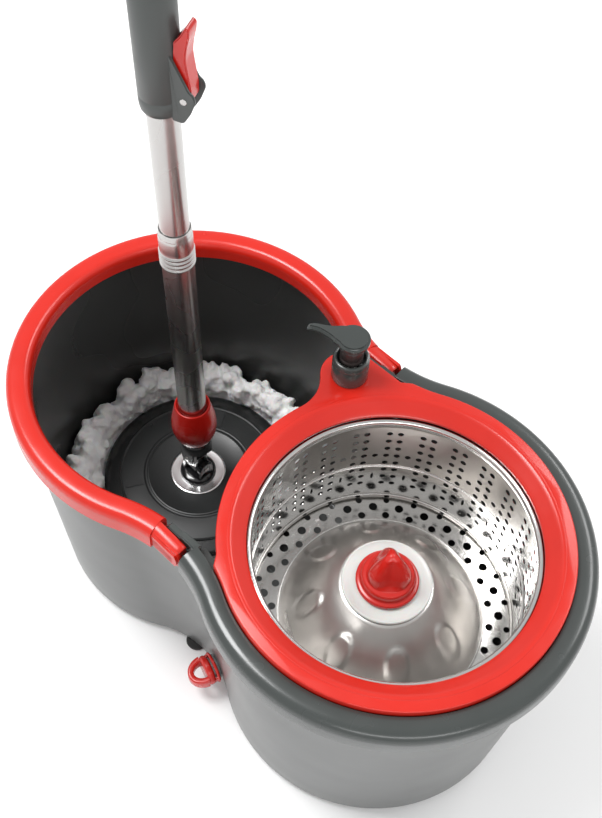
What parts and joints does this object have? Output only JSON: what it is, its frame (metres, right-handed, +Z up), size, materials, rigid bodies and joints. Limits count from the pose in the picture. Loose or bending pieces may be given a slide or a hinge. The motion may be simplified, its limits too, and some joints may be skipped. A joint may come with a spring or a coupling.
{
  "type": "spin mop",
  "caption": "Two-lobe wringing bucket with a spinning steel basket, soap pump and drain, and a string mop on a telescopic twist-drive pole.",
  "frame": {"origin": "on the floor, under the middle of the bucket", "axes": "+Z up, +X from the wash lobe towards the spin lobe, +Y towards the side with the soap pump"},
  "size_m": [0.4698, 0.2718, 1.1517],
  "materials": {
    "red_plastic": "gloss",
    "dark_grey_plastic": "gloss",
    "bucket_grey_plastic": "satin",
    "black_plastic": "gloss",
    "pump_skirt_plastic": "satin",
    "white_plastic": "satin",
    "foot_rubber": "matt",
    "seal_rubber": "matt",
    "steel": "brushed",
    "chrome": "polished",
    "brass": "satin",
    "yarn": "matt"
  },
  "bodies": {
    "bucket": {"bucket_shell": "bucket_grey_plastic", "foot_1": "foot_rubber", "foot_2": "foot_rubber", "foot_3": "foot_rubber", "foot_4": "foot_rubber", "foot_5": "foot_rubber", "foot_6": "foot_rubber", "rim_collar": "dark_grey_plastic", "handle_pin_far": "chrome", "handle_pin_near": "chrome", "deck": "red_plastic", "drain_neck": "bucket_grey_plastic", "drain_seal": "seal_rubber", "floor_post": "black_plastic", "spindle": "steel", "thrust_washer": "brass", "spindle_clip": "steel", "pump_cap": "dark_grey_plastic", "pump_cylinder": "white_plastic", "check_ball": "steel", "dip_tube": "white_plastic", "soap_bottle": "white_plastic"},
    "handle": {"carry_handle": "red_plastic"},
    "rotor": {"basket": "steel", "basket_boss": "white_plastic", "hub_cone": "red_plastic", "basket_hub": "black_plastic", "lower_bearing": "steel", "upper_bearing": "steel"},
    "plunger": {"pump_stem": "white_plastic", "pump_piston": "white_plastic", "pump_skirt": "pump_skirt_plastic", "pump_spring": "steel"},
    "spout": {"pump_head": "dark_grey_plastic"},
    "plug": {"drain_plug": "red_plastic"},
    "mop_head": {"mop_yarn": "yarn", "refill_ring": "white_plastic", "mop_plate": "black_plastic", "plate_disc": "chrome", "joint_base": "black_plastic", "lower_joint_pin": "chrome"},
    "knuckle": {"joint_knuckle": "black_plastic", "upper_joint_pin": "chrome"},
    "lower_pole": {"joint_fork": "black_plastic", "pole_socket": "red_plastic", "lower_tube": "chrome", "ferrule": "chrome", "tube_joiner": "white_plastic", "middle_tube": "chrome", "drive_nut": "brass"},
    "guide": {"guide_bush": "white_plastic"},
    "upper_pole": {"upper_tube": "chrome", "rod_anchor": "white_plastic", "drive_rod": "steel", "lock_body": "dark_grey_plastic", "lock_pin": "chrome", "grip": "dark_grey_plastic", "end_cap": "red_plastic"},
    "lever": {"lock_lever": "red_plastic"}
  },
  "joints": [
    {"name": "carry_swing", "type": "hinge", "parent": "bucket", "child": "handle", "pos_m": [-0.006, 0, 0.2115], "axis": [0, -1, 0], "range_deg": [-50, 0]},
    {"name": "basket_spin", "type": "hinge", "parent": "bucket", "child": "rotor", "pos_m": [0.099, 0, 0.1], "axis": [0, 0, 1], "continuous": true},
    {"name": "pump_press", "type": "slide", "parent": "bucket", "child": "plunger", "axis": [0, 0, -1], "range_m": [0, 0.01], "stiffness_N_per_m": 400, "springref_m": -0.006, "deforming": ["pump_spring"]},
    {"name": "pump_turn", "type": "hinge", "parent": "plunger", "child": "spout", "pos_m": [-0.012, 0.0725, 0.2675], "axis": [0, 0, 1], "continuous": true},
    {"name": "plug_pull", "type": "slide", "parent": "bucket", "child": "plug", "axis": [-0.2996, -0.954, 0], "range_m": [0, 0.03]},
    {"name": "mop_lift", "type": "slide", "parent": "bucket", "child": "mop_head", "axis": [0, 0, 1], "range_m": [0, 0.3]},
    {"name": "head_tilt", "type": "hinge", "parent": "mop_head", "child": "knuckle", "pos_m": [-0.1115, 0.008, 0.064], "axis": [-1, 0, 0], "range_deg": [-22, 22]},
    {"name": "head_lean", "type": "hinge", "parent": "knuckle", "child": "lower_pole", "pos_m": [-0.1115, 0.008, 0.08], "axis": [0, 1, 0], "range_deg": [-22, 22]},
    {"name": "pole_spin", "type": "hinge", "parent": "lower_pole", "child": "guide", "pos_m": [-0.1115, 0.008, 0.08], "axis": [-0.0223, 0, 0.9998], "range_deg": [-516, 1086]},
    {"name": "press_stroke", "type": "slide", "parent": "guide", "child": "upper_pole", "axis": [-0.0223, 0, 0.9998], "range_m": [-0.085, 0.18]},
    {"name": "lever_open", "type": "hinge", "parent": "upper_pole", "child": "lever", "pos_m": [-0.104, 0.01516, 0.46426], "axis": [-0.4066, 0.9135, -0.0091], "range_deg": [0, 100]}
  ],
  "couplings": [
    {"joint": "pole_spin", "follows": "press_stroke", "rad_per_m": 104.72}
  ]
}
